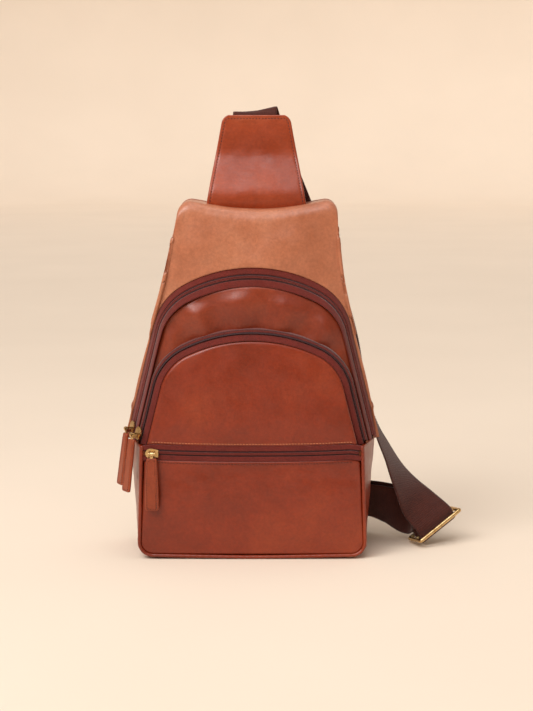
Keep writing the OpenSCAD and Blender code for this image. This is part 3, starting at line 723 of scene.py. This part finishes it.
def upper_section(f, side):
    """The leather from the outer zip's rear tape, round the front corner and back to the back seam."""
    x, z = (np.interp(f, SIDE_RUN, SIDE_PATH[:, k]) for k in (0, 1))
    g = np.interp(f, (0, 0.19, 0.38, 0.75, 0.88, 1), (0, 0.27, 0.47, 0.64, 0.83, 1))
    row = np.array([np.interp(g, np.linspace(0, 1, len(ARCH_HALF)), ARCH_HALF[:, k]) for k in range(4)])
    row = row * np.array([side, 1, side, 1])
    place, w, n = arch_frame(OUTER_ARCH, row, *OUTER_TURN)
    px = side * x + TOP_SWAY * (z / BODY_H) ** 6
    lip = [place + w * a + n * b for a, b in ((8.2, 0.1), (7.7, 0.7), (7.9, 1.35), (8.9, 1.7))]
    start = lip[-1]
    corner_y = np.interp(z, (97, 190, 235, 262, 304), (start[1], start[1], -13.5, -14, -12))
    radius = np.interp(z, (97, 190, 240, 262, 300), (2.2, 3.2, 7, 9, 12))
    corner = np.array([px, corner_y, z])
    reach = np.linalg.norm(corner - start)
    ahead = (corner - start) / reach
    keep = min(radius, 0.7 * reach)
    stop = corner - ahead * keep
    lobe = 2.4 * math.exp(-((abs(px) - 40) / 20) ** 2) - 0.8 * math.exp(-(px / 16) ** 2)
    lobe *= min(1, max(0, (z - 200) / 60))
    made = list(lip)
    for i in range(1, 15):
        q = i / 14
        p = start + (stop - start) * q
        made.append(p + np.array([0, -lobe * math.sin(math.pi * q) ** 1.2, 0]))
    end = corner + np.array([0, radius, 0])
    for i in range(1, 9):
        t = i / 8
        made.append((1 - t) ** 2 * stop + 2 * t * (1 - t) * corner + t * t * end)
    wall_end = np.array([px, BACK_SEAM_Y, z])
    over = grow(z - 278, 22)
    inward = unit([-side * (1 - over), 0, -over])
    for i in range(1, 13):
        hollow = (1.3 - 0.9 * over) * math.sin(math.pi * i / 12) ** 0.6 if i < 12 else 0
        made.append(end + (wall_end - end) * i / 12 + inward * hollow)
    made.append(wall_end + inward * 0.5 + np.array([0, 0.8, 0]))
    made.append(wall_end + inward * 2 + np.array([0, 0.9, 0]))
    return made


left = [upper_section(f, -1) for f in SIDE_RUN]
right = [upper_section(f, 1) for f in SIDE_RUN[::-1]]
around = left + right[1:]
WALL_COLUMN = 27
around, flip = softened(around, 0.5, 3, lambda z, j: 0.4 if j >= WALL_COLUMN else grow(z - 215, 40))
cut_at = int(np.argmin(np.abs(SIDE_PATH[:, 1] - 240)))
# The yoke and both rear sides wear the lighter yoke leather, whose colour is a painted highlight.
shell("rear_side_leather_left", around[:cut_at + 1], flip, YOKE_PAINTED_HIGHLIGHT, "leather_dark", "rear_side_left")
shell("yoke_leather", around[cut_at:len(around) - cut_at], flip, YOKE_PAINTED_HIGHLIGHT, "leather_tan", "yoke")
shell("rear_side_leather_right", around[len(around) - cut_at - 1:], flip, YOKE_PAINTED_HIGHLIGHT, "leather_dark",
      "rear_side_right")


U_SIDE_POINTS, U_BASE_POINTS = 44, 36


def u_path(top, foot):
    """From the left top down round the foot and up to the right top, drawn as (x, z)."""
    side = evenly([top, foot[-1]], count=U_SIDE_POINTS)
    base = evenly([(0, 0), foot[0]], count=U_BASE_POINTS)
    half = [tuple(p) for p in base] + foot[1:] + [tuple(p) for p in side[::-1][1:]]
    return np.array(mirrored(half) + half[1:])


FRONT_SEAM_Y = -37.2
front_u = u_path((95.7, 96.6), FRONT_FOOT)
body_u = u_path((WAIST_W / 2, SEAM_Z + 0.8), BODY_FOOT)
gusset = []
for (fx, fz), (bx, bz) in zip(front_u, body_u):
    start, middle, end = (np.array(p) for p in ((fx, FRONT_SEAM_Y, fz), (bx, MID_Y, bz),
                                                (bx, BACK_SEAM_Y, bz)))
    side = 1 if fx > 0 else -1
    row = []
    for i in range(26):
        t = i / 25
        p = start + (middle - start) * t
        bow = 0.5 * math.sin(math.pi * t) * min(1, max(0, fz - 6) / 30) * min(1, (101 - fz) / 20)
        row.append(p + np.array([side * bow * 0.9, 0, 0]))
    row += [middle + (end - middle) * i / 18 for i in range(1, 19)]
    row.append(end + np.array([-side * 0.4 if bz > 5 else 0, 0.8, 0.4 if bz <= 5 else 0]))
    row.append(end + np.array([-side * 1.8 if bz > 5 else 0, 0.9, 1.8 if bz <= 5 else 0]))
    gusset.append(row)
# Turned in along its top, where the arch zips end
for end, way in ((0, 1), (-1, -1)):
    top = gusset[end]
    for inset, drop in ((0.7, -0.35), (1.8, -0.3), (5, 0.6), (12, 1.4)):
        row = [p + np.array([way * inset, 0, -drop]) for p in top]
        gusset = [row] + gusset if end == 0 else gusset + [row]
gusset, flip = softened(gusset, 0.4, 2)
shell("base_gusset_leather", gusset, flip, TAN, "leather_dark", "base_gusset")


TUBE_SIDES = 12


def tube(name, line, radius, material, slot, nodes):
    """A round cord of leather along a line, its thickness wandering a little."""
    line = np.asarray(line, float)
    rings = []
    for i, p in enumerate(line):
        t = unit(line[min(i + 1, len(line) - 1)] - line[max(i - 1, 0)])
        a = unit(np.cross(t, [0, 1, 0]))
        b = np.cross(t, a)
        pinch = 1 + 0.05 * math.sin(i * 1.1)
        rings.append([p + (a * math.cos(q) + b * math.sin(q)) * radius * pinch
                      for q in np.linspace(0, math.tau, TUBE_SIDES, endpoint=False)])
    return ring_sweep(name, rings, material, slot, stands_for=nodes)


piping_foot = arc((FRONT_LOW_W / 2 - CORNER_R, CORNER_R), CORNER_R - 1.5, -90, 0, 10)
piping_u = u_path((94.1, 97), piping_foot)
piping_u = evenly(piping_u, step=1)
piping_line = [(x, -38.1 + 0.5 * face_bow(x), z) for x, z in piping_u]
tube("pocket_piping", piping_line, 1.5, TAN, "leather_dark", ["front_piping"])

# ---- strap tab -----------------------------------------------------------------------------------
TAB_X, TAB_TOP_W, TAB_LOW_W, TAB_FRONT_TOP, TAB_BACK_TOP = 3.5, 58, 88, 377, 371
TAB_SEAM_INSET = 2.7
TAB_LINE = evenly([(13, 294), (12, 297.2)] + bezier([(12, 297.2), (6, 319), (29, 325), (31, 347)], 20)
                  + [(32.5, 377.5)], step=1)


def tab_half(z, top):
    """Half of the tab's width at a height, with its rounded top corners."""
    half = (TAB_LOW_W + (TAB_TOP_W - TAB_LOW_W) * (z - 296) / 81) / 2
    past = max(0, z - (top - 7))
    return half - 7 + math.sqrt(max(0, 49 - past * past)) if past > 0 else half


def tab_point(k, v, n, top):
    """A place on the tab: row k along it, v from -1 to 1 across, n out of it towards the back."""
    y, z = TAB_LINE[k]
    a, b = TAB_LINE[max(k - 1, 0)], TAB_LINE[min(k + 1, len(TAB_LINE) - 1)]
    d = unit(b - a)
    return np.array([TAB_X + v * tab_half(z, top), y + d[1] * n, z - d[0] * n])


def tab_leather(name, node, top, face, inner):
    """One face of the strap tab, from its foot up to top, with rolled edges and a pressed-in seam."""
    rows = [k for k in range(len(TAB_LINE)) if TAB_LINE[k][1] <= top]
    rings = []
    for k in rows:
        z = TAB_LINE[k][1]
        half = tab_half(z, top)
        over, under = [], []
        for v in np.sin(np.linspace(-1, 1, 61) * math.pi / 2):
            d = min(half * (1 - abs(v)), top - z + 0.02)
            roll = 1.1 * (1 - math.sqrt(max(0, 1 - (1 - min(1, d / 1.6)) ** 2)))
            x = v * half
            crease = 0.22 * fbm(x * 0.25, 3, z * 1.3, 5) * math.exp(-((z - 327) / 12) ** 2)
            soft = 0.35 * fbm(x, 1, z, 22)
            seam = 0.28 * math.exp(-((d - TAB_SEAM_INSET) / 0.8) ** 2)
            n = face - math.copysign(1, face) * (roll + seam) + (crease + soft) * grow(d, 4)
            over.append(tab_point(k, v, n, top))
            under.append(tab_point(k, v, inner, top))
        rings.append(over + under[::-1])
    return ring_sweep(name, rings, TAB, "leather_tan", stands_for=[node])


tab_leather("strap_tab_leather_front", "strap_tab_front", TAB_FRONT_TOP, -2.5, -0.6)
tab_leather("strap_tab_leather_back", "strap_tab_back", TAB_BACK_TOP, 2.5, 0.6)


def tab_seam(inset, top, n):
    """A line on the tab, this far inside its edge: up the left side, over the top and down the right."""
    side = []
    for k in range(6, len(TAB_LINE)):
        z = TAB_LINE[k][1]
        if z <= top - inset:
            half = tab_half(z, top - inset * 0.4) - inset
            side.append((k, half / tab_half(z, top)))
    up = [tab_point(k, -v, n, top) for k, v in side]
    down = [tab_point(k, v, n, top) for k, v in side[::-1]]
    return evenly(up + down, step=1)


for word, top, face in (("front", TAB_FRONT_TOP, -1), ("back", TAB_BACK_TOP, 1)):
    stitches("tab_stitches_" + word, tab_seam(TAB_SEAM_INSET, top, 2.35 * face), (0, face, 0),
             DARK_THREAD, "leather_dark", pitch=2.7)

# ---- leather pull tabs ---------------------------------------------------------------------------
PULL_LEN, PULL_W, PULL_T, LEAN = 49, 12, 2.4, math.radians(8)


def pull_frame(pin, side, lean):
    """Axes of a pull hanging from its pin: across, into the bag and up."""
    x = unit(side)
    y = np.cross([0, 0, 1], x)
    z = np.array([0, 0, 1.0])
    return (np.array(pin), x, y * math.cos(lean) - z * math.sin(lean),
            z * math.cos(lean) + y * math.sin(lean))


def pull_tab(name, node, body, frame_at, bend):
    """Two layers of leather sewn together, rounded at the corners and a little bowed."""
    pin, ax, ay, az = frame_at
    foot = 2 - PULL_LEN
    half = (arc((PULL_W / 2 - 2, foot), 2, -90, 0, 6) + [(PULL_W / 2 - 0.3, -30), (PULL_W / 2 - 1, -12)]
            + arc((PULL_W / 2 - 3, -4.9), 1.5, 0, 90, 5))
    outline = evenly(half + mirrored(half) + [half[0]], step=0.8)[:-1]
    tangent = np.roll(outline, -1, axis=0) - np.roll(outline, 1, axis=0)
    inward = np.c_[-tangent[:, 1], tangent[:, 0]] / np.linalg.norm(tangent, axis=1)[:, None]

    def at(x, y, z):
        bow = bend * ((z + 10) / 40) ** 2
        return pin + ax * x + ay * (y + bow) + az * z

    rings = []
    t = PULL_T / 2
    profile = ((2.6, -t), (1.9, -t + 0.12), (1.5, -t + 0.16), (1.0, -t + 0.02), (0.35, -t + 0.2),
               (0, -t + 0.75), (0.12, 0), (0, t - 0.75), (0.35, t - 0.2), (1.0, t), (2.6, t))
    for inset, y in profile:
        loop = outline + inward * inset
        rings.append([at(x, y + 0.08 * fbm(x, y, z, 5), z) for x, z in loop])
    ring_sweep(name, rings, EDGE, "leather_dark", stands_for=[node], body=body)
    edge = PULL_W / 2
    down = [(edge - 2, -7.5), (edge - 1.7, -30), (edge - 1.7, foot), (edge - 2.4, foot - 0.4)]
    line = down + [(-x, z) for x, z in down[::-1]]
    for y, out, word in ((-t + 0.12, -ay, "front"), (t - 0.05, ay, "back")):
        stitches(f"{name}_stitches_{word}", evenly([at(x, y, z) for x, z in line], step=0.8), out,
                 DARK_THREAD, "leather_dark", body=body, pitch=2.1, long=1.5, radius=0.24)


pull_tab("front_pull_leather", "front_pull_tab", "front_pull_body",
         pull_frame((-85.5, -43.4, 91), (1, 0, 0), 0), 0.15)
pull_tab("outer_pull_leather", "outer_pull_tab", "outer_pull_body",
         pull_frame((-109.118, -9.80053, 106.75), (0.444501, -0.895778, 0), LEAN), 0.15)
pull_tab("inner_pull_leather", "inner_pull_tab", "inner_pull_body",
         pull_frame((-102.615, -31.4132, 105.345), (0.556517, -0.830836, 0), LEAN), 0.15)

# ---- anchor tab: a leather loop round the ring, sewn to the back ---------------------------------
LOOP_AT = (RING_X - 12, RING_Y - 4)
loop_path = [(-64, 37.6), (-78, 37.5), (-87, 38.0), (-91, 39.0)]
loop_path += [(LOOP_AT[0] + 2.6 * math.cos(math.radians(a)), LOOP_AT[1] + 2.6 * math.sin(math.radians(a)))
              for a in range(-90, -410, -20)]
loop_path = evenly(loop_path, step=0.8)
rings = []
for i, (x, y) in enumerate(loop_path):
    t = unit(loop_path[min(i + 1, len(loop_path) - 1)] - loop_path[max(i - 1, 0)])
    ring = []
    for face in (-1, 1):
        for v in np.linspace(face, -face, 15):
            half = face * (LEATHER_T / 2 - (0.35 if abs(v) > 0.95 else 0))
            ring.append((x - t[1] * half, y + t[0] * half, RING_Z + WEB_W / 2 * v))
    rings.append(ring)
ring_sweep("anchor_leather", rings, EDGE, "leather_dark", stands_for=["anchor_tab"])
box_line = [(-86, RING_Z - 16), (-66.5, RING_Z - 16), (-66.5, RING_Z + 16), (-86, RING_Z + 16)]
stitches("anchor_stitches", evenly([(x, 38.35, z) for x, z in box_line], step=1), (0, 1, 0), DARK_THREAD,
         "leather_dark")

# ---- seams that show their thread ----------------------------------------------------------------
SEAM_HALF, UPPER_INSET, LOWER_INSET, SEAM_LIFT = 86, 2.6, 2.8, 0.2
upper_seam = []
lower_seam = []
for x in np.linspace(-SEAM_HALF, SEAM_HALF, 120):
    z = UPPER_FOOT_Z + eased_smile(x) + UPPER_INSET
    upper_seam.append((x, upper_place(x, z, UPPER_INSET) - SEAM_LIFT, z))
    z = POCKET_TOP_Z + eased_smile(x) - LOWER_INSET
    lower_seam.append((x, pocket_place(x, z, LOWER_INSET) - SEAM_LIFT, z))
stitches("pocket_zip_stitches_upper", upper_seam, (0, -1, 0), THREAD, "leather_tan")
stitches("pocket_zip_stitches_lower", lower_seam, (0, -1, 0), DARK_THREAD, "leather_dark")

# ---- CAD nodes that stay, with better finishes ---------------------------------------------------
KEPT = {
    "zip_stops": DULL, "outer_slider": BRASS, "outer_pull": BRASS, "inner_slider": BRASS,
    "inner_pull": BRASS, "front_slider": BRASS, "front_pull": BRASS, "adjuster_frame": BRASS,
    "adjuster_bar": BRASS, "anchor_ring": BRASS, "back_foam": FOAM, "strap_tab_core": FOAM,
    "back_lining": LINING, "main_divider": LINING, "pocket_lining": LINING,
}
for node, material in KEPT.items():
    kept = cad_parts[node]
    for place in kept.material_slots:
        place.material = material
    if material in (BRASS, DULL):
        edge = kept.modifiers.new("edge", "BEVEL")
        edge.width = 0.25 * MM
        edge.segments = 2
        edge.limit_method = "ANGLE"

# ---- floor, backdrop and light -------------------------------------------------------------------
floor_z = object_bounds()[0][2] - 0.0001
FLOOR_R, COVE_R, WALL_H, ROUND = 5.5, 1.2, 4, 96
profile = [(0.02, floor_z), (1.2, floor_z), (FLOOR_R, floor_z)]
for a in np.linspace(0.08, math.pi / 2, 14):
    profile.append((FLOOR_R + COVE_R * math.sin(a), floor_z + COVE_R - COVE_R * math.cos(a)))
profile.append((FLOOR_R + COVE_R, WALL_H))
turns = np.linspace(0, math.tau, ROUND, endpoint=False)
verts = [(r * math.cos(a), r * math.sin(a), z) for r, z in profile for a in turns]
ground = bpy.data.meshes.new("ground")
ground.from_pydata(verts, [], grid_faces(len(profile), ROUND, ring=True) + [tuple(range(ROUND))])
ground.shade_smooth()
floor = bpy.data.objects.new("floor", ground)
bpy.context.scene.collection.objects.link(floor)
paper = Nodes("paper", Specular_IOR_Level=0.2)
paper.link(paper.ramp(paper.noise(3, 2), [(0.3, srgb(234, 217, 198)), (0.7, srgb(237, 220, 201))]),
           paper.shader, "Base Color")
paper.shader.inputs["Roughness"].default_value = 0.9
ground.materials.append(paper.material)


def area_light(name, at, aim, size, power, colour):
    """A rectangular light at one place, turned to face another."""
    light = bpy.data.lights.new(name, "AREA")
    light.shape = "RECTANGLE"
    light.size, light.size_y = size
    light.energy = power
    light.color = colour
    lamp = bpy.data.objects.new(name, light)
    lamp.location = at
    lamp.rotation_euler = (Vector(aim) - Vector(at)).to_track_quat("-Z", "Y").to_euler()
    bpy.context.scene.collection.objects.link(lamp)


area_light("key", (-0.75, -0.9, 1.2), (0, 0, 0.17), (0.7, 0.6), 9, (1, 0.98, 0.96))
area_light("top", (0.1, 0.0, 1.5), (0, 0, 0.2), (0.9, 0.6), 3, (1, 0.98, 0.96))
sun = bpy.data.lights.new("window", "SUN")
sun.energy = 1.9
sun.angle = math.radians(50)
window = bpy.data.objects.new("window", sun)
window.rotation_euler = Vector((0.42, 0.62, -0.8)).to_track_quat("-Z", "Y").to_euler()
bpy.context.scene.collection.objects.link(window)
world = bpy.data.worlds.new("studio")
world.use_nodes = True
world.node_tree.nodes["Background"].inputs["Color"].default_value = (1, 0.98, 0.95, 1)
world.node_tree.nodes["Background"].inputs["Strength"].default_value = 0.46
bpy.context.scene.world = world
bpy.context.scene.view_settings.view_transform = "Standard"
